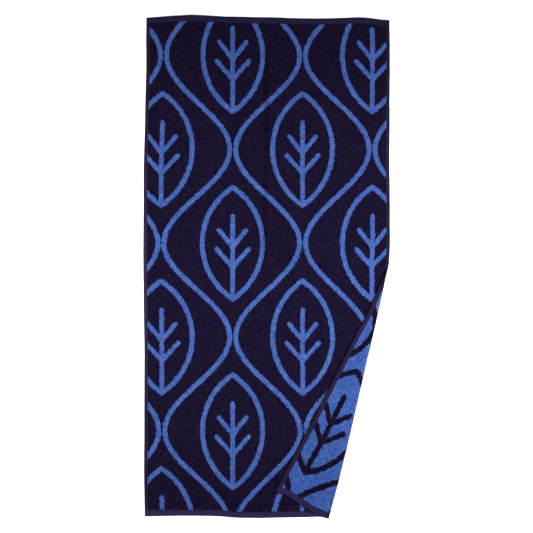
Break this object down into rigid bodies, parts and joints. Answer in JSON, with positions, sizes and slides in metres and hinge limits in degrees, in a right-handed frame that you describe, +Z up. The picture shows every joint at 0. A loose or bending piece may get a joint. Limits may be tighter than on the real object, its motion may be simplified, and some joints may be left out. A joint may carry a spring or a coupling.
{
  "type": "hand towel",
  "caption": "Terry hand towel with narrow flat-woven hems, lying flat with its lower right corner folded over to show the reverse.",
  "frame": {"origin": "on the floor under the middle of the towel's outline", "axes": "+Z up out of the front of the towel, +Y up its length towards its top hem, +X to the right, towards the side whose lower corner is folded over"},
  "size_m": [0.495, 1.0094, 0.009],
  "materials": {
    "terry": "matt looped cotton pile, dark navy with blue lines on the front, blue with dark lines on the reverse"
  },
  "bodies": {
    "root": {"towel": "terry"}
  },
  "joints": []
}
